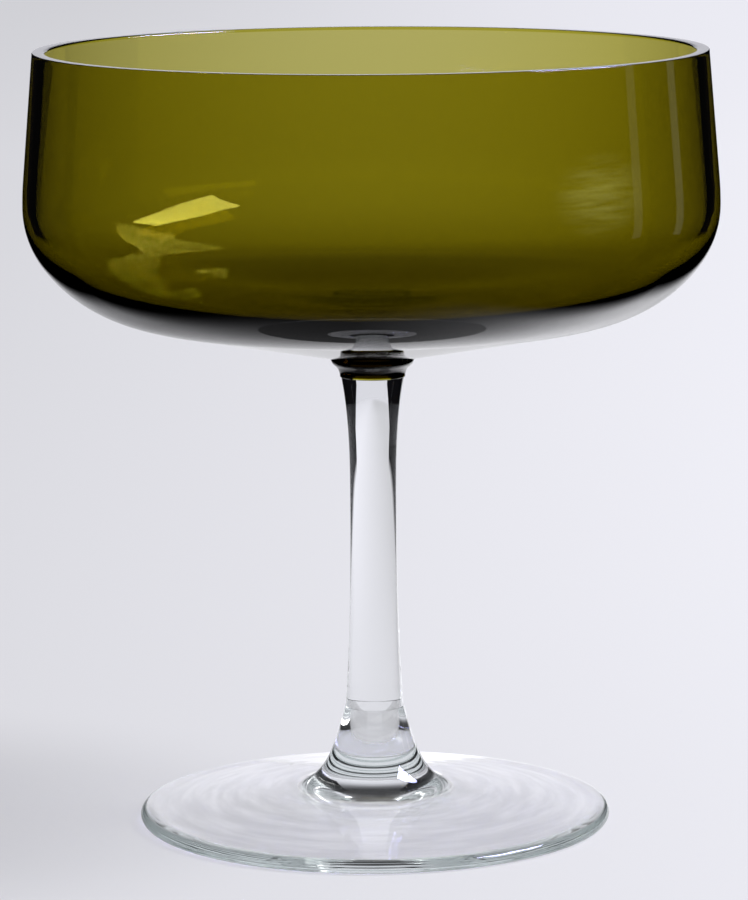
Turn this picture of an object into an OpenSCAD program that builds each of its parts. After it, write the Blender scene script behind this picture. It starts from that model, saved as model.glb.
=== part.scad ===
// Sherbet glass: a wide olive bowl on a clear drawn stem and a clear foot.
// Four pieces of glass stand on one axis, each fused face to face to the next.
// The table is at z = 0, and every height is counted up from it.

/* [Bowl] */
// Outside radius at the rim
rim_r = 47.5; // [44:0.1:52]
// How far the widest ring stands out past the rim
belly_swell = 1.7; // [1.2:0.1:3]
// Height of the rim above the widest ring
wall_h = 21.9; // [19:0.1:26]
// Thickness of the wall at the rim
rim_wall = 1.85; // [1.5:0.05:2.4]
// Thickness of the wall at the widest ring
belly_wall = 1.95; // [1.5:0.05:2.6]
// Thickness of the floor at its middle, above the joint with the collar
floor_t = 4; // [3:0.1:5]
// Outside radius of the curve from the widest ring into the shoulder
shoulder_bend_r = 13.6; // [12:0.1:16]
// Outside radius of the curve from the shoulder into the underside
base_bend_r = 21.3; // [18:0.1:25]
// How much tighter the inside shoulder curve is than the outside one
shoulder_wall = 3.4; // [2:0.1:4]
// How much tighter the inside base curve is than the outside one
base_wall = 5.2; // [4.4:0.1:6]
// Radius of the long curve that draws the wall in towards the rim
wall_bend_r = 46; // [40:0.5:48]
// Radius of the shallow curve in the middle of the underside
underside_crown_r = 45.6; // [40:0.1:55]
// Radius of the shallow curve in the middle of the floor
floor_crown_r = 87; // [70:1:100]
// Rounding of the inside edge of the rim
rim_ease_in = 0.4; // [0.2:0.05:0.7]
// Rounding of the outside edge of the rim
rim_ease_out = 0.15; // [0.1:0.05:0.5]

/* [Collar] */
// Radius of the joint between the bowl and the collar
bowl_joint_r = 5.95; // [5.6:0.05:6.4]
// Height of the collar
collar_h = 2.85; // [2.4:0.05:3.6]
// Radius of the collar at its lower end
collar_foot_r = 4.65; // [4.55:0.05:5]
// Height of the straight edge at the top of the collar
collar_land = 0.25; // [0.15:0.05:0.5]

/* [Stem] */
// Length of the stem
stem_h = 47.8; // [42:0.1:58]
// Radius of the stem where it meets the collar
stem_top_r = 4.5; // [4.1:0.05:4.5]
// Radius of the stem at its waist
waist_r = 3.33; // [2.9:0.01:3.8]
// Height of the waist above the joint with the foot
waist_h = 29.6; // [24:0.1:34]
// Radius of the stem where it meets the foot
stem_foot_r = 4.15; // [3.9:0.05:4.2]

/* [Foot] */
// Radius of the foot
foot_r = 33.75; // [31:0.05:37]
// Thickness of the foot at its rounded edge
foot_edge_t = 1.9; // [1.6:0.1:2.6]
// Height of the whole foot, from the table to the joint with the stem
foot_h = 16.4; // [14:0.1:19]
// Radius of the post at its top
post_r = 4.2; // [4.2:0.05:4.6]
// How far the foot's upper face climbs from its edge to the root of the post
foot_rise = 3; // [2:0.1:4]
// Radius of the root of the post
root_r = 11.4; // [10:0.1:12.5]
// How far the post's upper curve runs before it turns
post_pull = 6; // [5:0.1:7]
// How far the root's curve runs before it turns
root_pull = 4.4; // [3:0.1:5.2]
// Height of the hollow under the middle of the foot
hollow_h = 3; // [2:0.1:3.6]
// How far the hollow climbs straight in from its edge before it turns
hollow_pull = 16; // [12:0.5:18]
// How far the hollow's level crown reaches out before it turns
crown_pull = 8; // [5:0.5:10]
// Width of the flat ring that the glass stands on
rest_w = 1.8; // [1.2:0.1:3]

/* [Angles] */
// How far the shoulder curve turns before the base curve takes over
shoulder_turn = 37.6; // [32:0.1:42]
// Slope of the bowl's underside
underside_slope = 11.4; // [9:0.1:13]
// Slope of the bowl's floor, inside
floor_slope = 11.5; // [9:0.1:13]
// Lean of the post's side where it leaves the joint with the stem
post_lean = 15; // [8:0.5:20]
// Slope of the hollow at its edge
hollow_slope = 7.5; // [6:0.1:9]

/* [Hidden] */

// Pieces of each arc, each half of the stem, the post and the hollow
arc_steps = 8;
stem_steps = 14;
post_steps = 14;
hollow_steps = 14;
// Facets of a turned piece where it is drawn as a mesh
turn_fn = 180;
// How sharply the stem opens towards its two ends
stem_top_power = 3;
stem_foot_power = 2.5;
// Part of the collar's height that its hollow sweep takes, before the lip turns back
sweep_share = 0.63;

// Heights of the joints above the table
stem_z = foot_h;
collar_z = stem_z + stem_h;
bowl_z = collar_z + collar_h;

// The foot's rounded edge and the level of the root of the post
edge_r = foot_edge_t / 2;
edge_centre_r = foot_r - edge_r;
root_z = foot_edge_t + foot_rise;
foot_slope = atan(foot_rise / (edge_centre_r - root_r));
hollow_r = edge_centre_r - rest_w;

// Points on an arc, from one angle to another
function arc_points(centre, radius, from, to, steps = arc_steps) = [
  for (i = [0:steps])
    let (a = from + (to - from) * i / steps)
    centre + radius * [cos(a), sin(a)]
];

// Point on a curve that leaves a towards b and arrives at d from c
function bend_point(a, b, c, d, t) =
  a * pow(1 - t, 3) + 3 * b * t * pow(1 - t, 2) + 3 * c * t * t * (1 - t) + d * pow(t, 3);

// Points of a list in the opposite order
function reversed(points) = [for (i = [len(points) - 1:-1:0]) points[i]];

// Lean of a wall that runs from the rim's corner onto the curve below it
function wall_lean(corner, wide, bend) =
  let (v = corner - [wide[0] - bend, wide[1]])
  atan2(v[1], v[0]) - acos(bend / norm(v));

// Centre radius of the base curve, and the radius where it meets the sloping underside
function base_centre_r(wide_r, shoulder, base) =
  wide_r - shoulder + (shoulder - base) * cos(shoulder_turn);
function base_end_r(wide_r, shoulder, base, slope) =
  base_centre_r(wide_r, shoulder, base) + base * sin(slope);

// Fall from the widest ring to the end of the straight slope, where the crown starts
function slope_fall(wide_r, shoulder, base, slope, crown) =
  shoulder * sin(shoulder_turn) + base * (cos(slope) - sin(shoulder_turn))
  + (base_end_r(wide_r, shoulder, base, slope) - crown * sin(slope)) * tan(slope);

// Fall of the shallow crown from its start to the radius where it stops
function crown_fall(crown, slope, stop_r) =
  sqrt(crown * crown - stop_r * stop_r) - crown * cos(slope);

// One face of the bowl, from the curve under the rim down to the radius where it stops
function bowl_face(corner, wide, bend, shoulder, base, slope, crown, stop_r) =
  let (
    shoulder_c = [wide[0] - shoulder, wide[1]],
    base_c = shoulder_c + (shoulder - base) * [cos(shoulder_turn), -sin(shoulder_turn)],
    crown_start = wide[1] - slope_fall(wide[0], shoulder, base, slope, crown),
    crown_c = [0, crown_start + crown * cos(slope)]
  )
  concat(
    arc_points([wide[0] - bend, wide[1]], bend, wall_lean(corner, wide, bend), 0),
    arc_points(shoulder_c, shoulder, -shoulder_turn / arc_steps, -shoulder_turn),
    arc_points(base_c, base, -shoulder_turn - shoulder_turn / arc_steps, slope - 90),
    arc_points(crown_c, crown, slope - 90, asin(stop_r / crown) - 90)
  );

// Rounded edge at a corner of the rim: side is 1 outside and -1 inside
function rim_edge(corner, lean, ease, side) =
  let (centre = corner - [side * ease * (1 - side * sin(lean)) / cos(lean), ease])
  arc_points(centre, ease, side > 0 ? lean : 180 + lean, 90);

// Sizes of the bowl's two faces, from its joint face upward
belly_r = rim_r + belly_swell;
belly_z = slope_fall(belly_r, shoulder_bend_r, base_bend_r, underside_slope, underside_crown_r)
  + crown_fall(underside_crown_r, underside_slope, bowl_joint_r);
bowl_h = belly_z + wall_h;
shoulder_in_r = shoulder_bend_r - shoulder_wall;
base_in_r = base_bend_r - base_wall;
belly_in_r = belly_r - belly_wall;
belly_in_z = floor_t + slope_fall(belly_in_r, shoulder_in_r, base_in_r, floor_slope, floor_crown_r)
  + crown_fall(floor_crown_r, floor_slope, 0);

// Blown bowl: a wide cup with a straight wall, a round shoulder and a low sloping underside
module bowl() {
  outer_corner = [rim_r, bowl_h];
  inner_corner = [rim_r - rim_wall, bowl_h];
  outer_wide = [belly_r, belly_z];
  inner_wide = [belly_in_r, belly_in_z];
  inner_bend_r = wall_bend_r - belly_wall;
  outer_face = bowl_face(outer_corner, outer_wide, wall_bend_r, shoulder_bend_r, base_bend_r,
    underside_slope, underside_crown_r, bowl_joint_r);
  inner_face = bowl_face(inner_corner, inner_wide, inner_bend_r, shoulder_in_r, base_in_r,
    floor_slope, floor_crown_r, 0);
  outer_edge = rim_edge(outer_corner, wall_lean(outer_corner, outer_wide, wall_bend_r),
    rim_ease_out, 1);
  inner_edge = rim_edge(inner_corner, wall_lean(inner_corner, inner_wide, inner_bend_r),
    rim_ease_in, -1);
  color("olive")
    translate([0, 0, bowl_z])
      rotate_extrude($fn = turn_fn)
        polygon(concat(reversed(outer_edge), outer_face, [[0, 0]], reversed(inner_face),
          inner_edge));
}

// Collar: a button of the bowl's glass, swept in to the stem, with a lip under the bowl
module collar() {
  reach = bowl_joint_r - collar_foot_r;
  rise = collar_h - collar_land;
  turn = 2 * atan(reach / rise);
  bends_r = rise / sin(turn);
  sweep_r = bends_r * sweep_share;
  lip_r = bends_r - sweep_r;
  color("darkolivegreen")
    translate([0, 0, collar_z])
      rotate_extrude($fn = turn_fn)
        polygon(concat(
          [[0, 0]],
          arc_points([collar_foot_r + sweep_r, 0], sweep_r, 180, 180 - turn),
          reversed(arc_points([bowl_joint_r - lip_r, rise], lip_r, 0, -turn, arc_steps)),
          [[bowl_joint_r, collar_h], [0, collar_h]]));
}

// Drawn stem: narrowest at its waist and opening towards the collar and the foot
module stem() {
  lower = [for (i = [0:stem_steps]) let (t = 1 - i / stem_steps)
    [waist_r + (stem_foot_r - waist_r) * pow(t, stem_foot_power), waist_h * (1 - t)]];
  upper = [for (i = [1:stem_steps]) let (t = i / stem_steps)
    [waist_r + (stem_top_r - waist_r) * pow(t, stem_top_power), waist_h + (stem_h - waist_h) * t]];
  color("lightcyan")
    translate([0, 0, stem_z])
      rotate_extrude($fn = turn_fn)
        polygon(concat([[0, 0]], lower, upper, [[0, stem_h]]));
}

// Foot: a thin round disc with a hollow underside, drawn up in the middle into a flared post
module foot() {
  post_top = [post_r, foot_h];
  root = [root_r, root_z];
  post_turn = post_top + post_pull * [sin(post_lean), -cos(post_lean)];
  root_turn = root + root_pull * [-cos(foot_slope), sin(foot_slope)];
  post_side = [for (i = [0:post_steps])
    bend_point(post_top, post_turn, root_turn, root, i / post_steps)];
  edge = arc_points([edge_centre_r, edge_r], edge_r, 90 - foot_slope, -90);
  hollow_turn = [hollow_r, 0] + hollow_pull * [-cos(hollow_slope), sin(hollow_slope)];
  hollow = [for (i = [0:hollow_steps])
    bend_point([hollow_r, 0], hollow_turn, [crown_pull, hollow_h], [0, hollow_h],
      i / hollow_steps)];
  color("azure")
    rotate_extrude($fn = turn_fn)
      polygon(concat([[0, foot_h]], post_side, edge, hollow));
}

bowl();
collar();
stem();
foot();
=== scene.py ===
import math

import bmesh
import bpy
from mathutils import Matrix, Vector


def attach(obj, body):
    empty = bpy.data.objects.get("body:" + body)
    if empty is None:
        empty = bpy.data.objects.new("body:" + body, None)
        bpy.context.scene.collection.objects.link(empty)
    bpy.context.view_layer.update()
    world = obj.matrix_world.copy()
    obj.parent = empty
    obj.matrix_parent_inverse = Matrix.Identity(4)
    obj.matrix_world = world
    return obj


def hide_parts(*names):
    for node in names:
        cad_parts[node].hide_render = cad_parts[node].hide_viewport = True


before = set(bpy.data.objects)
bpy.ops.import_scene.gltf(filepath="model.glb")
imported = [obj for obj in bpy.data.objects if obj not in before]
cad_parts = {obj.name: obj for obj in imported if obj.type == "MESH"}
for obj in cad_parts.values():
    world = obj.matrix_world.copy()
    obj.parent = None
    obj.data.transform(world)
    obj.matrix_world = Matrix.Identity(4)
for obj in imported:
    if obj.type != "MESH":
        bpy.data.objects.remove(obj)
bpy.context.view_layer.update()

# Camera
# The glass is seen from a little over half a metre away, slightly from above.
CAMERA_BACK = 0.6248
CAMERA_UP = 0.1556
CAMERA_PITCH = math.radians(9.28)
CAMERA_ROLL = math.radians(-0.35)
CAMERA_LENS = 177.7
CAMERA_SENSOR = 36
CAMERA_SHIFT = 0.0011
# Light that is trapped in the foot's thin disc turns many times before it comes out.
LIGHT_TURNS = 40

camera_data = bpy.data.cameras.new("camera")
camera_data.lens = CAMERA_LENS
camera_data.sensor_width = CAMERA_SENSOR
camera_data.shift_x = CAMERA_SHIFT
camera = bpy.data.objects.new("camera", camera_data)
bpy.context.scene.collection.objects.link(camera)
camera.matrix_world = (
    Matrix.Translation((0, -CAMERA_BACK, CAMERA_UP))
    @ Matrix.Rotation(math.pi / 2 - CAMERA_PITCH, 4, "X")
    @ Matrix.Rotation(CAMERA_ROLL, 4, "Z")
)
bpy.context.scene.camera = camera
bpy.context.scene.view_settings.view_transform = "Standard"
bpy.context.scene.cycles.max_bounces = LIGHT_TURNS
bpy.context.scene.cycles.transmission_bounces = LIGHT_TURNS
bpy.context.scene.cycles.glossy_bounces = LIGHT_TURNS


# Table
# A wide sheet of pale paper that the glass stands on. Its glow, to the eye and through the glass,
# is painted light that is brighter on the right, over a dim matt paper that the lamp lights. Far
# off it takes the tone of the room, so that no edge shows behind the glass.
TABLE_HALF = 6.0
TABLE_DROP = 0.00005
PAPER = (0.20, 0.20, 0.205, 1)
PAPER_LEFT = (0.455, 0.455, 0.48, 1)
PAPER_RIGHT = (0.705, 0.705, 0.77, 1)
PAPER_FAR_LEFT = (0.57, 0.57, 0.60, 1)
PAPER_FAR_RIGHT = (0.765, 0.765, 0.825, 1)
PAPER_END = (0.708, 0.708, 0.763, 1)
PAPER_ACROSS = (-0.22, 0.22)
PAPER_AWAY = (-0.06, 1.0)
PAPER_ENDING = (2.2, 5.5)


def feed(tree, socket, value):
    """Joins a link to an input of a node, or sets the input's own value."""
    if isinstance(value, bpy.types.NodeSocket):
        tree.links.new(value, socket)
    else:
        socket.default_value = value


def add_node(tree, kind, **values):
    """A node with its settings. A name that starts with in_ is an input, by name or number."""
    node = tree.nodes.new(kind)
    inputs = {}
    for name, value in values.items():
        if name.startswith("in_"):
            inputs[name[3:]] = value
        else:
            setattr(node, name, value)
    for name, value in inputs.items():
        socket = node.inputs[int(name) if name.isdigit() else name.replace("_", " ")]
        feed(tree, socket, value)
    return node


def number(tree, operation, *terms):
    """What a Math node makes of numbers and links."""
    node = add_node(tree, "ShaderNodeMath", operation=operation)
    for socket, term in zip(node.inputs, terms):
        feed(tree, socket, term)
    return node.outputs[0]


def product(tree, first, *others):
    """Numbers and links multiplied together."""
    for other in others:
        first = number(tree, "MULTIPLY", first, other)
    return first


def vector(tree, operation, *terms):
    """What a Vector Math node makes of vectors and links."""
    node = add_node(tree, "ShaderNodeVectorMath", operation=operation)
    for socket, term in zip(node.inputs, terms):
        feed(tree, socket, term)
    return node.outputs["Value" if operation == "LENGTH" else "Vector"]


def ramp(tree, value, span, levels=(0, 1), kind="LINEAR"):
    """A level that changes while a value runs through a span, and stays the same past it."""
    node = add_node(tree, "ShaderNodeMapRange", interpolation_type=kind, in_Value=value,
                    in_From_Min=span[0], in_From_Max=span[1],
                    in_To_Min=levels[0], in_To_Max=levels[1])
    return node.outputs["Result"]


def blend(tree, share, first, second):
    """A colour between two others. The Mix node's colour sockets are 6, 7 and, going out, 2."""
    node = add_node(tree, "ShaderNodeMix", data_type="RGBA", in_0=share, in_6=first, in_7=second)
    return node.outputs[2]


def seen_by_eye(tree):
    """One where a ray comes from the camera, or by way of glass or a gloss."""
    path = add_node(tree, "ShaderNodeLightPath").outputs
    straight = number(tree, "MAXIMUM", path["Is Camera Ray"], path["Is Glossy Ray"])
    return number(tree, "MAXIMUM", straight, path["Is Transmission Ray"])


def new_material(name):
    """A material with an empty node tree."""
    material = bpy.data.materials.new(name)
    material.use_nodes = True
    material.node_tree.nodes.clear()
    return material, material.node_tree


def card(name, corners, material):
    """Flat cards of the studio, four corners each, which aren't part of the object."""
    mesh = bpy.data.meshes.new(name)
    mesh.from_pydata(corners, [], [tuple(range(i, i + 4)) for i in range(0, len(corners), 4)])
    mesh.materials.append(material)
    piece = bpy.data.objects.new(name, mesh)
    bpy.context.scene.collection.objects.link(piece)
    return piece


def square(half, z):
    """Corners of a level square about the middle of the table."""
    return [(-half, -half, z), (half, -half, z), (half, half, z), (-half, half, z)]


paper, tree = new_material("pale_paper")
place = add_node(tree, "ShaderNodeNewGeometry").outputs["Position"]
split = add_node(tree, "ShaderNodeSeparateXYZ", in_0=place)
across = ramp(tree, split.outputs["X"], PAPER_ACROSS, kind="SMOOTHSTEP")
away = ramp(tree, split.outputs["Y"], PAPER_AWAY)
ending = ramp(tree, vector(tree, "LENGTH", place), PAPER_ENDING, kind="SMOOTHSTEP")
near_tone = blend(tree, across, PAPER_LEFT, PAPER_RIGHT)
far_tone = blend(tree, across, PAPER_FAR_LEFT, PAPER_FAR_RIGHT)
tone = blend(tree, ending, blend(tree, away, near_tone, far_tone), PAPER_END)
glow = add_node(tree, "ShaderNodeEmission", in_Color=tone, in_Strength=seen_by_eye(tree))
matt = add_node(tree, "ShaderNodeBsdfDiffuse", in_Color=PAPER)
both = add_node(tree, "ShaderNodeAddShader", in_0=glow.outputs[0], in_1=matt.outputs[0])
add_node(tree, "ShaderNodeOutputMaterial", in_Surface=both.outputs[0])
card("table", square(TABLE_HALF, -TABLE_DROP), paper)


# Studio
# A pale room and a soft lamp at the right, with cards that only the glass shows: black ones
# for its dark edges, and bright ones for its lights. Angles run clockwise from straight behind
# the glass, and level cards lie just over the paper.
FILL = 0.345
SKY = (0.76, 0.76, 0.82, 1)
SKY_RISE = (0.08, 0.56)
SKY_LEVELS = (1, 0.06)
BLACK = (0.004, 0.004, 0.005, 1)
COOL_WHITE = (0.96, 0.96, 1, 1)
LEVEL_Z = -0.00002

LEFT_FLAG = (-68, -30)
RIGHT_FLAG = (32, 80)
FLAG_AWAY = 0.42
FLAG_HIGH = 0.36
FLAG_STEP = 4
HIGH_FLAG_AWAY = 0.46
HIGH_FLAG_OUTER_Z = 0.022
HIGH_FLAG_INNER_Z = 0.085
# Each high flag: its two angles, and the heights of its lower edge there.
HIGH_FLAGS = (
    (-30, -19, HIGH_FLAG_OUTER_Z, HIGH_FLAG_INNER_Z),
    (22, 32, HIGH_FLAG_INNER_Z, HIGH_FLAG_OUTER_Z),
)

ROOM_R = 1.6
ROOM_HIGH = 1.6
ROOM_OPEN = 10
ROOM_STEP = 10

GLOW_SLANT = 0.25
GLOW_START = (-0.055, 0.070)
GLOW_ACROSS = (-0.06, 0.05)
GLOW_ACROSS_LEVELS = (0.6, 1.7)
GLOW_AWAY = (0.08, 0.25)
GLOW_AWAY_LEVELS = (1.7, 0.85)
GLOW_MIDDLE = 0.004
GLOW_SOFT = 0.030
# Half the width of the glow: how much it grows with depth, and what it is at the middle.
GLOW_NEAR_HALF = (0.45, 0.066)
GLOW_FAR_HALF = (0.12, 0.098)

SHADE_RING = (0.0125, 0.0335)
SHADE_Z = 0.0052
SHADE_STEP = 10
SHADE_ACROSS = (-0.005, 0.03)
SHADE_LEVELS = (0.14, 0.45)

SIDES_NEAR = 0.13
SIDES_SPREAD = 0.24
SIDES_FROM = 80
SIDES_TURN = 50
SIDES_POWER = 1.3
SIDES_SOFT = 0.03
SIDES_AWAY = 0.80
SIDES_STEP = 2

LAMP_STRENGTH = 28
LAMP_COLOUR = (0.95, 0.95, 1.8, 1)
# The lamp's face: each corner's angle, its rise in degrees from the bowl, and its distance.
LAMP_CORNERS = (
    (117.6, 46.3, 0.50), (114.5, 25.1, 0.50), (63.8, 34.5, 1.02), (64.5, 44.1, 1.02),
)
LAMP_SEEN_FROM_Z = 0.085
LAMP_LAST_TURN = 7
LAMP_PLACE = (0.80, -0.02, 0.90)
LAMP_TARGET = (0, 0, 0.05)
LAMP_SIZE = 0.35
LAMP_POWER = 14

# Each bright strip: its angle, and half its width in degrees.
STRIPS = ((66, 2.4), (89, 2.0))
STRIP_AWAY = 0.41
STRIP_COLOUR = (1, 1, 0.7, 1)
STRIP_STRENGTH = 0.30

WINDOW = (95, 135)
WINDOW_AWAY = 0.50
WINDOW_SILL = 0.15
WINDOW_TOP = 0.33
WINDOW_COLOUR = (1, 1, 1, 1)
WINDOW_STRENGTH = 5


def aim(azimuth, away, z=0.0):
    """The point that far off over the table, at an angle clockwise from straight behind."""
    a = math.radians(azimuth)
    return Vector((away * math.sin(a), away * math.cos(a), z))


def spans(start, end, step):
    """The short spans, end to end, that make up a wide one."""
    return [(low, min(low + step, end)) for low in range(start, end, step)]


def standing(start, end, away, start_z, end_z, top):
    """Corners of a card that stands on edge between two angles."""
    return [aim(start, away, start_z), aim(end, away, end_z),
            aim(end, away, top), aim(start, away, top)]


def limit_rays(piece, glossy, transmission):
    """Only rays that come off the glass, or through it, meet this card."""
    piece.visible_camera = False
    piece.visible_diffuse = False
    piece.visible_shadow = False
    piece.visible_volume_scatter = False
    piece.visible_glossy = glossy
    piece.visible_transmission = transmission


def glowing(name, colour, strength=1):
    """A material that shines evenly in one colour."""
    material, tree = new_material(name)
    shine = add_node(tree, "ShaderNodeEmission", in_Color=colour, in_Strength=strength)
    add_node(tree, "ShaderNodeOutputMaterial", in_Surface=shine.outputs[0])
    return material


world = bpy.data.worlds.new("room")
bpy.context.scene.world = world
world.use_nodes = True
tree = world.node_tree
tree.nodes.clear()
heading = add_node(tree, "ShaderNodeTexCoord").outputs["Generated"]
split = add_node(tree, "ShaderNodeSeparateXYZ", in_0=heading)
fade = ramp(tree, split.outputs["Z"], SKY_RISE, SKY_LEVELS, "SMOOTHSTEP")
level = add_node(tree, "ShaderNodeMix", data_type="FLOAT", in_Factor=seen_by_eye(tree),
                 in_A=FILL, in_B=fade)
sky = add_node(tree, "ShaderNodeBackground", in_Color=SKY, in_Strength=level.outputs[0])
add_node(tree, "ShaderNodeOutputWorld", in_Surface=sky.outputs[0])

black = glowing("black_card", BLACK)
for name, flag in (("flag_left", LEFT_FLAG), ("flag_right", RIGHT_FLAG)):
    corners = []
    for low, high in spans(*flag, FLAG_STEP):
        corners += standing(low, high, FLAG_AWAY, 0, 0, FLAG_HIGH)
    limit_rays(card(name, corners, black), True, True)

corners = []
for start, end, start_z, end_z in HIGH_FLAGS:
    corners += standing(start, end, HIGH_FLAG_AWAY, start_z, end_z, FLAG_HIGH)
limit_rays(card("high_flags", corners, black), True, True)

corners = []
for low, high in spans(ROOM_OPEN, 360 - ROOM_OPEN, ROOM_STEP):
    corners += standing(low, high, ROOM_R, 0, 0, ROOM_HIGH)
limit_rays(card("dark_room", corners, black), True, False)

# The glow of the table, as the underside of the bowl mirrors it: a card of painted light and shade
# that only gloss rays meet, dark in front and at the sides and brighter behind and to the right.
table_shade, tree = new_material("table_shade")
place = add_node(tree, "ShaderNodeNewGeometry").outputs["Position"]
split = add_node(tree, "ShaderNodeSeparateXYZ", in_0=place)
x, y = split.outputs["X"], split.outputs["Y"]
slant = number(tree, "MULTIPLY_ADD", x, GLOW_SLANT, y)
lit = ramp(tree, slant, GLOW_START, kind="SMOOTHSTEP")
across = ramp(tree, x, GLOW_ACROSS, GLOW_ACROSS_LEVELS)
away = ramp(tree, y, GLOW_AWAY, GLOW_AWAY_LEVELS)
halves = [number(tree, "MULTIPLY_ADD", y, *half) for half in (GLOW_NEAR_HALF, GLOW_FAR_HALF)]
off_middle = number(tree, "ABSOLUTE", number(tree, "SUBTRACT", x, GLOW_MIDDLE))
inside = number(tree, "SUBTRACT", number(tree, "MINIMUM", *halves), off_middle)
edge = ramp(tree, inside, (0, GLOW_SOFT), kind="SMOOTHSTEP")
level = product(tree, lit, number(tree, "MINIMUM", across, away), edge)
shade = add_node(tree, "ShaderNodeEmission", in_Color=COOL_WHITE, in_Strength=level)
add_node(tree, "ShaderNodeOutputMaterial", in_Surface=shade.outputs[0])
limit_rays(card("table_glow", square(ROOM_R, LEVEL_Z), table_shade), True, False)

# A ring of painted shade just over the disc of the foot, dim and a little brighter on the right,
# seen from above alone, for the bowl to mirror.
under_shade, tree = new_material("under_shade")
place = add_node(tree, "ShaderNodeNewGeometry")
split = add_node(tree, "ShaderNodeSeparateXYZ", in_0=place.outputs["Position"])
level = ramp(tree, split.outputs["X"], SHADE_ACROSS, SHADE_LEVELS)
dark = add_node(tree, "ShaderNodeEmission", in_Color=COOL_WHITE, in_Strength=level)
clear = add_node(tree, "ShaderNodeBsdfTransparent")
one_way = add_node(tree, "ShaderNodeMixShader", in_0=place.outputs["Backfacing"],
                   in_1=dark.outputs[0], in_2=clear.outputs[0])
add_node(tree, "ShaderNodeOutputMaterial", in_Surface=one_way.outputs[0])
corners = []
for low, high in spans(0, 360, SHADE_STEP):
    corners += [aim(low, SHADE_RING[1], SHADE_Z), aim(low, SHADE_RING[0], SHADE_Z),
                aim(high, SHADE_RING[0], SHADE_Z), aim(high, SHADE_RING[1], SHADE_Z)]
limit_rays(card("under_shade", corners, under_shade), True, False)

# Black sheets on the table at both sides, whose near ends fade in.
fading, tree = new_material("fading_card")
share = add_node(tree, "ShaderNodeAttribute", attribute_name="darkness").outputs["Fac"]
clear = add_node(tree, "ShaderNodeBsdfTransparent")
dark = add_node(tree, "ShaderNodeEmission", in_Color=BLACK)
mix = add_node(tree, "ShaderNodeMixShader", in_0=share, in_1=clear.outputs[0],
               in_2=dark.outputs[0])
add_node(tree, "ShaderNodeOutputMaterial", in_Surface=mix.outputs[0])
corners, darkness = [], []
for low, high in spans(*LEFT_FLAG, SIDES_STEP) + spans(*RIGHT_FLAG, SIDES_STEP):
    near = [SIDES_NEAR + SIDES_SPREAD * ((SIDES_FROM - abs(a)) / SIDES_TURN) ** SIDES_POWER
            for a in (low, high)]
    full = [distance + SIDES_SOFT for distance in near]
    corners += [aim(low, near[0] - SIDES_SOFT, LEVEL_Z), aim(high, near[1] - SIDES_SOFT, LEVEL_Z),
                aim(high, full[1], LEVEL_Z), aim(low, full[0], LEVEL_Z)]
    corners += [aim(low, full[0], LEVEL_Z), aim(high, full[1], LEVEL_Z),
                aim(high, SIDES_AWAY, LEVEL_Z), aim(low, SIDES_AWAY, LEVEL_Z)]
    darkness += [0, 0, 1, 1, 1, 1, 1, 1]
sides = card("dark_sides", corners, fading)
sides.data.attributes.new("darkness", "FLOAT", "POINT").data.foreach_set("value", darkness)
limit_rays(sides, False, True)

# The lamp's face, which leaves out the faint echoes that come back after many turns.
lamp_face, tree = new_material("lamp_face")
path = add_node(tree, "ShaderNodeLightPath").outputs
early = number(tree, "LESS_THAN", path["Ray Depth"], LAMP_LAST_TURN)
shine = add_node(tree, "ShaderNodeEmission", in_Color=LAMP_COLOUR,
                 in_Strength=product(tree, early, LAMP_STRENGTH))
add_node(tree, "ShaderNodeOutputMaterial", in_Surface=shine.outputs[0])
corners = [aim(azimuth, away, LAMP_SEEN_FROM_Z + away * math.tan(math.radians(rise)))
           for azimuth, rise, away in LAMP_CORNERS]
limit_rays(card("lamp_face", corners, lamp_face), True, True)

strip_face = glowing("strip_face", STRIP_COLOUR, STRIP_STRENGTH)
corners = []
for azimuth, half in STRIPS:
    corners += standing(azimuth - half, azimuth + half, STRIP_AWAY, 0, 0, FLAG_HIGH)
limit_rays(card("bright_strips", corners, strip_face), True, False)

window_face = glowing("window_face", WINDOW_COLOUR, WINDOW_STRENGTH)
corners = standing(*WINDOW, WINDOW_AWAY, WINDOW_SILL, WINDOW_SILL, WINDOW_TOP)
limit_rays(card("window", corners, window_face), False, True)

lamp_data = bpy.data.lights.new("soft_lamp", "AREA")
lamp_data.size = LAMP_SIZE
lamp_data.energy = LAMP_POWER
lamp = bpy.data.objects.new("soft_lamp", lamp_data)
bpy.context.scene.collection.objects.link(lamp)
lamp.location = LAMP_PLACE
lamp.rotation_euler = (Vector(LAMP_TARGET) - lamp.location).to_track_quat("-Z", "Y").to_euler()
lamp.visible_glossy = False
lamp.visible_transmission = False


# Bowl
# Blown olive-green glass, turned to a straight wall, a round shoulder and a low underside.
# Its rim is cracked off and ground flat, with the edges only just eased.
# Sizes of the glass are in millimetres.
MM = 0.001
RIM_R = 47.5
BELLY_R = 49.2
WALL_H = 21.9
RIM_WALL = 1.85
BELLY_WALL = 1.95
FLOOR_T = 4.0
SHOULDER_BEND_R = 13.6
BASE_BEND_R = 21.3
SHOULDER_WALL = 3.4
BASE_WALL = 5.2
WALL_BEND_R = 46.0
UNDERSIDE_CROWN_R = 45.6
FLOOR_CROWN_R = 87.0
RIM_EASE_IN = 0.4
RIM_EASE_OUT = 0.15
SHOULDER_TURN = 37.6
UNDERSIDE_SLOPE = 11.4
FLOOR_SLOPE = 11.5
BOWL_JOINT_R = 5.95
BOWL_Z = 67.05

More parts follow.
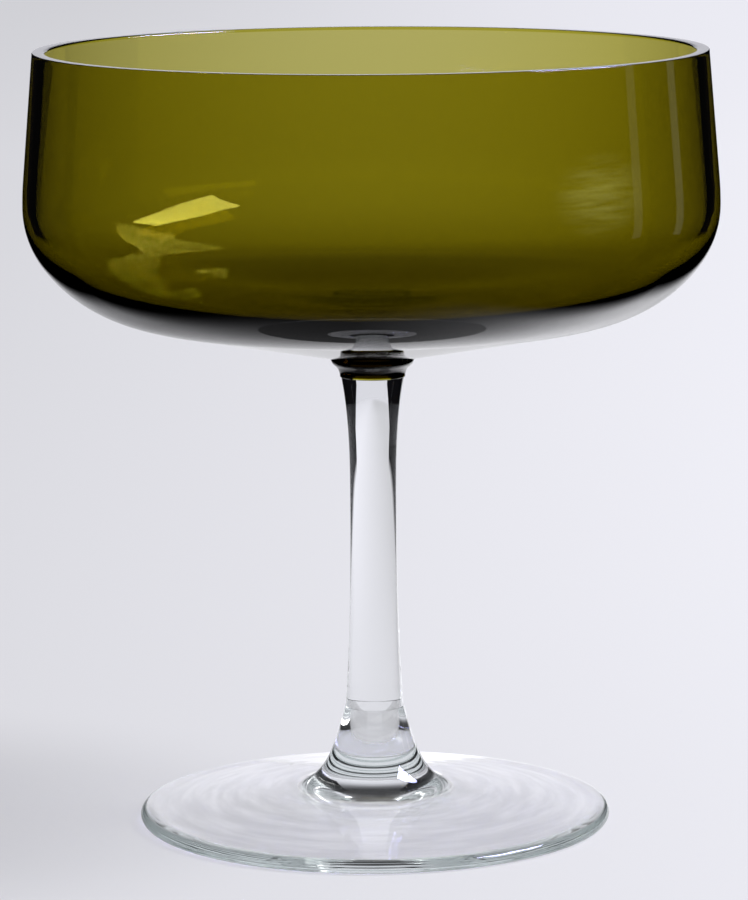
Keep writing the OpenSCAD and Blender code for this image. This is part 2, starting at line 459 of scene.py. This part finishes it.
# How finely the glass is drawn: steps round the axis, and along each part of an outline.
TURN_STEPS = 256
WALL_STEPS = 12
SHOULDER_STEPS = 24
BASE_STEPS = 40
CROWN_STEPS = 16
LINE_STEPS = 24
OUTER_EDGE_STEPS = 6
INNER_EDGE_STEPS = 8
BOWL_JOINT_STEPS = 6
ON_AXIS = 1e-6
SAME_HEIGHT = 1e-4
CREASE = math.radians(28)

OLIVE = (0.746, 0.717, 0.0, 1)
OLIVE_DENSITY = 1700
GLASS_IOR = 1.5
RIPPLE_DETAIL = 1.5
# The ripple of a glass: its depth in metres, its scale, and how far it is dragged aside.
BOWL_RIPPLE = (0.000003, 60, 0.3)
# Colour of the painted glow on the haze inside the bowl, and the heights over which it fades in.
PAINTED_HAZE_GLOW = (0.088, 0.088, 0.080)
HAZE_GLOW_RISE = (0.073, 0.083)
# The painted sheen on the scuffs: its colour, then the patch's place, size, fade and streaks.
PAINTED_SCUFF_SHEEN = (0.07, 0.075, 0.028)
SCUFF_PLACE = (0.0306, -0.0385, 0.0938)
SCUFF_HALF = (0.0068, 0.0120, 0.0056)
SCUFF_FADE = (1.15, 0.2)
SCUFF_DRAWN = (1, 1, 11)
SCUFF_SCALE = 110
SCUFF_DETAIL = 5
SCUFF_ROUGH = 0.7
SCUFF_RANGE = (0.36, 0.66)


def sine(degrees):
    """Sine of an angle in degrees."""
    return math.sin(math.radians(degrees))


def cosine(degrees):
    """Cosine of an angle in degrees."""
    return math.cos(math.radians(degrees))


def arc(centre, radius, start, end, steps):
    """Points on an arc of an outline, as radius and height."""
    points = []
    for i in range(steps + 1):
        a = start + (end - start) * i / steps
        points.append((centre[0] + radius * cosine(a), centre[1] + radius * sine(a)))
    return points


def line(first, last, steps):
    """Points on a straight part of an outline, without its two ends."""
    return [(first[0] + (last[0] - first[0]) * i / steps,
             first[1] + (last[1] - first[1]) * i / steps) for i in range(1, steps)]


def slope_fall(wide_r, shoulder, base, slope, crown):
    """How far the face falls from the widest ring to where its shallow crown starts."""
    end_r = wide_r - shoulder + (shoulder - base) * cosine(SHOULDER_TURN) + base * sine(slope)
    return (shoulder * sine(SHOULDER_TURN) + base * (cosine(slope) - sine(SHOULDER_TURN))
            + (end_r - crown * sine(slope)) * math.tan(math.radians(slope)))


def crown_fall(crown, slope, stop_r):
    """How far the shallow crown falls to the radius where it stops."""
    return math.sqrt(crown * crown - stop_r * stop_r) - crown * cosine(slope)


def wall_lean(corner, wide, bend):
    """Lean of the wall where it leaves the rim."""
    run, rise = corner[0] - wide[0] + bend, corner[1] - wide[1]
    return math.degrees(math.atan2(rise, run) - math.acos(bend / math.hypot(run, rise)))


def bowl_face(corner, wide, bend, shoulder, base, slope, crown, stop_r):
    """One face of the bowl, from under the rim to the radius where it stops."""
    shoulder_c = (wide[0] - shoulder, wide[1])
    base_c = (shoulder_c[0] + (shoulder - base) * cosine(SHOULDER_TURN),
              shoulder_c[1] - (shoulder - base) * sine(SHOULDER_TURN))
    crown_start = wide[1] - slope_fall(wide[0], shoulder, base, slope, crown)
    crown_c = (0, crown_start + crown * cosine(slope))
    stop = math.degrees(math.asin(stop_r / crown)) - 90
    lean = wall_lean(corner, wide, bend)
    wall = arc((wide[0] - bend, wide[1]), bend, lean, 0, WALL_STEPS)
    shoulder_points = arc(shoulder_c, shoulder, 0, -SHOULDER_TURN, SHOULDER_STEPS)
    base_points = arc(base_c, base, -SHOULDER_TURN, slope - 90, BASE_STEPS)
    crown_points = arc(crown_c, crown, slope - 90, stop, CROWN_STEPS)
    return (line(corner, wall[0], LINE_STEPS) + wall + shoulder_points[1:] + base_points[1:]
            + line(base_points[-1], crown_points[0], LINE_STEPS) + crown_points)


def rim_edge(corner, lean, ease, side, steps):
    """The eased edge at a corner of the rim: side is 1 outside and -1 inside."""
    across = side * ease * (1 - side * sine(lean)) / cosine(lean)
    start = lean if side > 0 else 180 + lean
    return arc((corner[0] - across, corner[1] - ease), ease, start, 90, steps)


def lathe(name, outline, material, base=0.0, fused=(), inside=0):
    """A closed piece turned about the upright axis from its outline, axis to axis.

    Level faces at the fused heights are marked, because light runs straight on through them,
    and so are the first steps of the outline, as many as inside says.
    """
    mesh = bmesh.new()
    fused_mark = mesh.faces.layers.float.new("fused")
    inside_mark = mesh.faces.layers.float.new("inside")
    turns = [2 * math.pi * i / TURN_STEPS for i in range(TURN_STEPS)]
    rings = []
    for r, z in outline:
        places = [(r * math.cos(a), r * math.sin(a)) for a in turns] if r > ON_AXIS else [(0, 0)]
        rings.append([mesh.verts.new((x * MM, y * MM, (z + base) * MM)) for x, y in places])
    for step, (low, high) in enumerate(zip(rings, rings[1:])):
        for i in range(TURN_STEPS):
            j = (i + 1) % TURN_STEPS
            corners = [low[i % len(low)], low[j % len(low)],
                       high[j % len(high)], high[i % len(high)]]
            corners = [v for k, v in enumerate(corners) if v not in corners[:k]]
            mesh.faces.new(corners)[inside_mark] = float(step < inside)
    bmesh.ops.recalc_face_normals(mesh, faces=mesh.faces)
    for face in mesh.faces:
        face.smooth = True
        heights = [v.co.z / MM - base for v in face.verts]
        level = max(heights) - min(heights) < SAME_HEIGHT
        face[fused_mark] = float(level and any(abs(heights[0] - h) < SAME_HEIGHT for h in fused))
    for edge in mesh.edges:
        edge.smooth = edge.calc_face_angle(0) < CREASE
    data = bpy.data.meshes.new(name)
    mesh.to_mesh(data)
    mesh.free()
    data.materials.append(material)
    piece = bpy.data.objects.new(name, data)
    bpy.context.scene.collection.objects.link(piece)
    return piece


def off_axis(tree, split):
    """Where a place lies from the upright axis, as a level vector and as its length."""
    flat = add_node(tree, "ShaderNodeCombineXYZ", in_X=split.outputs["X"],
                    in_Y=split.outputs["Y"]).outputs[0]
    return flat, vector(tree, "LENGTH", flat)


def glass_skin():
    """The skin of every glass here: rings left by turning, and joints left open."""
    group = bpy.data.node_groups.new("glass_skin", "ShaderNodeTree")
    for name in ("Ripple", "Size", "Drag"):
        group.interface.new_socket(name, in_out="INPUT", socket_type="NodeSocketFloat")
    group.interface.new_socket("Alpha", in_out="OUTPUT", socket_type="NodeSocketFloat")
    group.interface.new_socket("Normal", in_out="OUTPUT", socket_type="NodeSocketVector")
    given = add_node(group, "NodeGroupInput").outputs
    place = add_node(group, "ShaderNodeTexCoord").outputs["Object"]
    split = add_node(group, "ShaderNodeSeparateXYZ", in_0=place)
    reach = off_axis(group, split)[1]
    sway = number(group, "MULTIPLY_ADD", split.outputs["X"], given["Drag"], reach)
    turn = number(group, "MULTIPLY", split.outputs["Y"], given["Drag"])
    turned = add_node(group, "ShaderNodeCombineXYZ", in_X=sway, in_Y=turn,
                      in_Z=split.outputs["Z"])
    wave = add_node(group, "ShaderNodeTexNoise", in_Vector=turned.outputs[0],
                    in_Scale=given["Size"], in_Detail=RIPPLE_DETAIL)
    bump = add_node(group, "ShaderNodeBump", in_Strength=1, in_Height=wave.outputs["Fac"],
                    in_Distance=given["Ripple"])
    joint = add_node(group, "ShaderNodeAttribute", attribute_name="fused").outputs["Fac"]
    add_node(group, "NodeGroupOutput", in_Alpha=number(group, "SUBTRACT", 1, joint),
             in_Normal=bump.outputs["Normal"])
    return group


skin_group = glass_skin()


def glass(name, tint, density, ripple):
    """Glass with its colour in its body, under the skin that all of them share."""
    material, tree = new_material(name)
    skin = add_node(tree, "ShaderNodeGroup", node_tree=skin_group, in_Ripple=ripple[0],
                    in_Size=ripple[1], in_Drag=ripple[2])
    body = add_node(tree, "ShaderNodeBsdfPrincipled", in_IOR=GLASS_IOR, in_Roughness=0.0,
                    in_Transmission_Weight=1.0, in_Base_Color=(1, 1, 1, 1),
                    in_Alpha=skin.outputs["Alpha"], in_Normal=skin.outputs["Normal"])
    depth = add_node(tree, "ShaderNodeVolumeAbsorption", in_Color=tint, in_Density=density)
    add_node(tree, "ShaderNodeOutputMaterial", in_Surface=body.outputs[0],
             in_Volume=depth.outputs[0])
    return material


def paint_caught_light(tree, colour):
    """Paints a faint glow into a glass, as emission, where something on its skin would catch the
    light.
    """
    body = tree.nodes["Principled BSDF"]
    feed(tree, body.inputs["Emission Color"], colour)
    feed(tree, body.inputs["Emission Strength"], 1)


def scaled(tree, colour, share):
    """A colour made weaker or stronger."""
    node = add_node(tree, "ShaderNodeVectorMath", operation="SCALE", in_0=colour, in_Scale=share)
    return node.outputs["Vector"]


belly_z = (slope_fall(BELLY_R, SHOULDER_BEND_R, BASE_BEND_R, UNDERSIDE_SLOPE, UNDERSIDE_CROWN_R)
           + crown_fall(UNDERSIDE_CROWN_R, UNDERSIDE_SLOPE, BOWL_JOINT_R))
bowl_h = belly_z + WALL_H
shoulder_in_r = SHOULDER_BEND_R - SHOULDER_WALL
base_in_r = BASE_BEND_R - BASE_WALL
belly_in_r = BELLY_R - BELLY_WALL
bend_in_r = WALL_BEND_R - BELLY_WALL
belly_in_z = (FLOOR_T + crown_fall(FLOOR_CROWN_R, FLOOR_SLOPE, 0)
              + slope_fall(belly_in_r, shoulder_in_r, base_in_r, FLOOR_SLOPE, FLOOR_CROWN_R))
outer_corner, inner_corner = (RIM_R, bowl_h), (RIM_R - RIM_WALL, bowl_h)
outer_wide, inner_wide = (BELLY_R, belly_z), (belly_in_r, belly_in_z)
outer_face = bowl_face(outer_corner, outer_wide, WALL_BEND_R, SHOULDER_BEND_R, BASE_BEND_R,
                       UNDERSIDE_SLOPE, UNDERSIDE_CROWN_R, BOWL_JOINT_R)
inner_face = bowl_face(inner_corner, inner_wide, bend_in_r, shoulder_in_r, base_in_r,
                       FLOOR_SLOPE, FLOOR_CROWN_R, 0)
outer_edge = rim_edge(outer_corner, wall_lean(outer_corner, outer_wide, WALL_BEND_R),
                      RIM_EASE_OUT, 1, OUTER_EDGE_STEPS)
inner_edge = rim_edge(inner_corner, wall_lean(inner_corner, inner_wide, bend_in_r),
                      RIM_EASE_IN, -1, INNER_EDGE_STEPS)
joint_rings = [(BOWL_JOINT_R * i / BOWL_JOINT_STEPS, 0) for i in reversed(range(BOWL_JOINT_STEPS))]
bowl_outline = inner_face[::-1] + inner_edge + outer_edge[::-1] + outer_face + joint_rings
bowl_outline[0] = (0, bowl_outline[0][1])

olive_glass = glass("olive_glass", OLIVE, OLIVE_DENSITY, BOWL_RIPPLE)
tree = olive_glass.node_tree
spot = add_node(tree, "ShaderNodeTexCoord").outputs["Object"]
split = add_node(tree, "ShaderNodeSeparateXYZ", in_0=spot)

# A film of fine haze on the inside, whose pale glow is painted light: emission on the inner face
# near the top, strongest on the far side, where the light from the front would fall.
turned = number(tree, "DIVIDE", split.outputs["Y"], off_axis(tree, split)[1])
lit = ramp(tree, turned, (0, 1))
high = ramp(tree, split.outputs["Z"], HAZE_GLOW_RISE)
face = add_node(tree, "ShaderNodeAttribute", attribute_name="inside").outputs["Fac"]
back = add_node(tree, "ShaderNodeNewGeometry").outputs["Backfacing"]
painted_haze_glow = product(tree, lit, high, face, number(tree, "SUBTRACT", 1, back))

# Fine level scuffs in one patch low on the right, where the bowl was rubbed; the sheen they catch
# from the light is painted, as a faint glow.
drawn = add_node(tree, "ShaderNodeMapping", in_Vector=spot, in_Scale=SCUFF_DRAWN)
streaks = add_node(tree, "ShaderNodeTexNoise", in_Vector=drawn.outputs[0], in_Scale=SCUFF_SCALE,
                   in_Detail=SCUFF_DETAIL, in_Roughness=SCUFF_ROUGH)
off_patch = vector(tree, "DIVIDE", vector(tree, "SUBTRACT", spot, SCUFF_PLACE), SCUFF_HALF)
near = ramp(tree, vector(tree, "LENGTH", off_patch), SCUFF_FADE, kind="SMOOTHSTEP")
scuffs_and_sheen = product(tree, near, ramp(tree, streaks.outputs["Fac"], SCUFF_RANGE))
paint_caught_light(tree, vector(tree, "ADD", scaled(tree, PAINTED_HAZE_GLOW, painted_haze_glow), scaled(tree, PAINTED_SCUFF_SHEEN, scuffs_and_sheen)))

bowl = lathe("glass_bowl", bowl_outline, olive_glass, BOWL_Z, (0,), len(inner_face))
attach(bowl, "root")
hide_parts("bowl")


# Collar
# A button of the same olive glass, dropped hot under the bowl and pressed to take the stem.
# It is so thick that it looks almost black, and its lip just clears the stem.
COLLAR_H = 2.85
COLLAR_FOOT_R = 4.65
COLLAR_LAND = 0.25
SWEEP_SHARE = 0.63
COLLAR_Z = 64.2
FUSE = 0.05
JOINT_STEPS = 5
SWEEP_STEPS = 20
LIP_STEPS = 14
COLLAR_RIPPLE = (0.00002, 160, 0.6)

reach = BOWL_JOINT_R - COLLAR_FOOT_R
rise = COLLAR_H - COLLAR_LAND
sweep_turn = 2 * math.degrees(math.atan(reach / rise))
bends_r = rise / sine(sweep_turn)
sweep_r = bends_r * SWEEP_SHARE
lip_r = bends_r - sweep_r
collar_top_r = BOWL_JOINT_R - FUSE
collar_outline = (
    [(COLLAR_FOOT_R * i / JOINT_STEPS, -FUSE) for i in range(JOINT_STEPS)]
    + [(COLLAR_FOOT_R - FUSE, -FUSE), (COLLAR_FOOT_R, 0)]
    + arc((COLLAR_FOOT_R + sweep_r, 0), sweep_r, 180, 180 - sweep_turn, SWEEP_STEPS)[1:]
    + arc((BOWL_JOINT_R - lip_r, rise), lip_r, -sweep_turn, 0, LIP_STEPS)[1:]
    + [(BOWL_JOINT_R, COLLAR_H), (collar_top_r, COLLAR_H + FUSE)]
    + [(collar_top_r * i / BOWL_JOINT_STEPS, COLLAR_H + FUSE)
       for i in reversed(range(BOWL_JOINT_STEPS))]
)
olive_collar = glass("olive_glass_collar", OLIVE, OLIVE_DENSITY, COLLAR_RIPPLE)
collar = lathe("glass_collar", collar_outline, olive_collar, COLLAR_Z, (-FUSE, COLLAR_H + FUSE))
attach(collar, "root")
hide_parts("collar")


# Stem
# Clear glass drawn down by hand from a hot gather: narrowest just above its middle.
# It is fused to the collar above and to the post of the foot below.
STEM_H = 47.8
STEM_TOP_R = 4.5
WAIST_R = 3.33
WAIST_H = 29.6
STEM_FOOT_R = 4.15
STEM_TOP_POWER = 3
STEM_FOOT_POWER = 2.5
STEM_Z = 16.4
STEM_STEPS = 60
STEM_RIPPLE = (0.00004, 60, 0.8)
CLEAR = (0.0, 0.45, 0.35, 1)
CLEAR_DENSITY = 2.5

stem_side = []
for i in range(STEM_STEPS + 1):
    up = STEM_H * i / STEM_STEPS
    if up < WAIST_H:
        grow = (STEM_FOOT_R - WAIST_R) * ((WAIST_H - up) / WAIST_H) ** STEM_FOOT_POWER
    else:
        grow = (STEM_TOP_R - WAIST_R) * ((up - WAIST_H) / (STEM_H - WAIST_H)) ** STEM_TOP_POWER
    stem_side.append((WAIST_R + grow, up))
stem_outline = (
    [(STEM_FOOT_R * i / JOINT_STEPS, -FUSE) for i in range(JOINT_STEPS)]
    + [(STEM_FOOT_R - FUSE, -FUSE)]
    + stem_side
    + [(STEM_TOP_R * i / JOINT_STEPS, STEM_H) for i in reversed(range(JOINT_STEPS))]
)
clear_stem = glass("clear_glass_stem", CLEAR, CLEAR_DENSITY, STEM_RIPPLE)
stem = lathe("glass_stem", stem_outline, clear_stem, STEM_Z, (-FUSE, STEM_H))
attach(stem, "root")
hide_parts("stem")


# Foot
# Clear glass spun out to a thin disc with a fire-polished edge, its middle drawn up into
# a short post. It rests on a ring near its edge and is slightly hollow inside that.
FOOT_R = 33.75
FOOT_EDGE_T = 1.9
FOOT_H = 16.4
POST_R = 4.2
FOOT_RISE = 3.0
ROOT_R = 11.4
POST_PULL = 6.0
ROOT_PULL = 4.4
POST_LEAN = 15
HOLLOW_H = 3.0
HOLLOW_PULL = 16
CROWN_PULL = 8
HOLLOW_SLOPE = 7.5
REST_W = 1.8
CURVE_STEPS = 60
FOOT_EDGE_STEPS = 24
DISC_STEPS = 90
FOOT_RIPPLE = (0.000012, 280, 0.15)
# The tool marks on the foot, whose light is painted as a faint glow.
MARK_RINGS = 620
MARK_TURNS = 2.2
MARK_DETAIL = 4
MARK_ROUGH = 0.6
MARK_RANGE = (0.38, 0.72)
MARK_GLOW_LEVELS = (0.05, 0.16)
MARK_UPRIGHT = (0.88, 0.98)
PAINTED_MARK_GLOW = (1, 1, 0.98)

edge_r = FOOT_EDGE_T / 2
edge_centre_r = FOOT_R - edge_r
root_z = FOOT_EDGE_T + FOOT_RISE
foot_slope = math.degrees(math.atan(FOOT_RISE / (edge_centre_r - ROOT_R)))
hollow_r = edge_centre_r - REST_W


def bend(a, b, c, d):
    """Points on a curve that leaves a towards b and arrives at d from c."""
    points = []
    for i in range(CURVE_STEPS + 1):
        t = i / CURVE_STEPS
        u = 1 - t
        points.append(tuple(a[k] * u ** 3 + 3 * b[k] * t * u * u + 3 * c[k] * t * t * u
                            + d[k] * t ** 3 for k in (0, 1)))
    return points


root = (ROOT_R, root_z)
post_turn = (POST_R + POST_PULL * sine(POST_LEAN), FOOT_H - POST_PULL * cosine(POST_LEAN))
root_turn = (ROOT_R - ROOT_PULL * cosine(foot_slope), root_z + ROOT_PULL * sine(foot_slope))
post_side = bend((POST_R, FOOT_H), post_turn, root_turn, root)
foot_edge = arc((edge_centre_r, edge_r), edge_r, 90 - foot_slope, -90, FOOT_EDGE_STEPS)
foot_top = line(root, foot_edge[0], DISC_STEPS)
hollow_turn = (hollow_r - HOLLOW_PULL * cosine(HOLLOW_SLOPE), HOLLOW_PULL * sine(HOLLOW_SLOPE))
hollow = bend((hollow_r, 0), hollow_turn, (CROWN_PULL, HOLLOW_H), (0, HOLLOW_H))
post_face = [(POST_R * i / JOINT_STEPS, FOOT_H) for i in range(JOINT_STEPS)]
foot_outline = post_face + post_side + foot_top + foot_edge + hollow
foot_outline[-1] = (0, foot_outline[-1][1])

# Cloudy marks that the tools left in arcs on the disc's upper face; the light that they catch is
# painted, as a faint glow.
clear_foot = glass("clear_glass_foot", CLEAR, CLEAR_DENSITY, FOOT_RIPPLE)
tree = clear_foot.node_tree
spot = add_node(tree, "ShaderNodeTexCoord").outputs["Object"]
flat, reach = off_axis(tree, add_node(tree, "ShaderNodeSeparateXYZ", in_0=spot))
rings = add_node(tree, "ShaderNodeCombineXYZ", in_Z=product(tree, reach, MARK_RINGS))
spread = vector(tree, "MULTIPLY_ADD", vector(tree, "NORMALIZE", flat),
                (MARK_TURNS, MARK_TURNS, 0), rings.outputs[0])
cloud = add_node(tree, "ShaderNodeTexNoise", in_Vector=spread, in_Scale=1, in_Detail=MARK_DETAIL,
                 in_Roughness=MARK_ROUGH)
cloudy_glow = ramp(tree, cloud.outputs["Fac"], MARK_RANGE, MARK_GLOW_LEVELS)
side = add_node(tree, "ShaderNodeNewGeometry").outputs
facing = add_node(tree, "ShaderNodeSeparateXYZ", in_0=side["Normal"])
upper = ramp(tree, facing.outputs["Z"], MARK_UPRIGHT)
front = number(tree, "SUBTRACT", 1, side["Backfacing"])
marks_and_glow = product(tree, cloudy_glow, product(tree, upper, front))
paint_caught_light(tree, scaled(tree, PAINTED_MARK_GLOW, marks_and_glow))

foot = lathe("glass_foot", foot_outline, clear_foot, 0, (FOOT_H,))
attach(foot, "root")
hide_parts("foot")
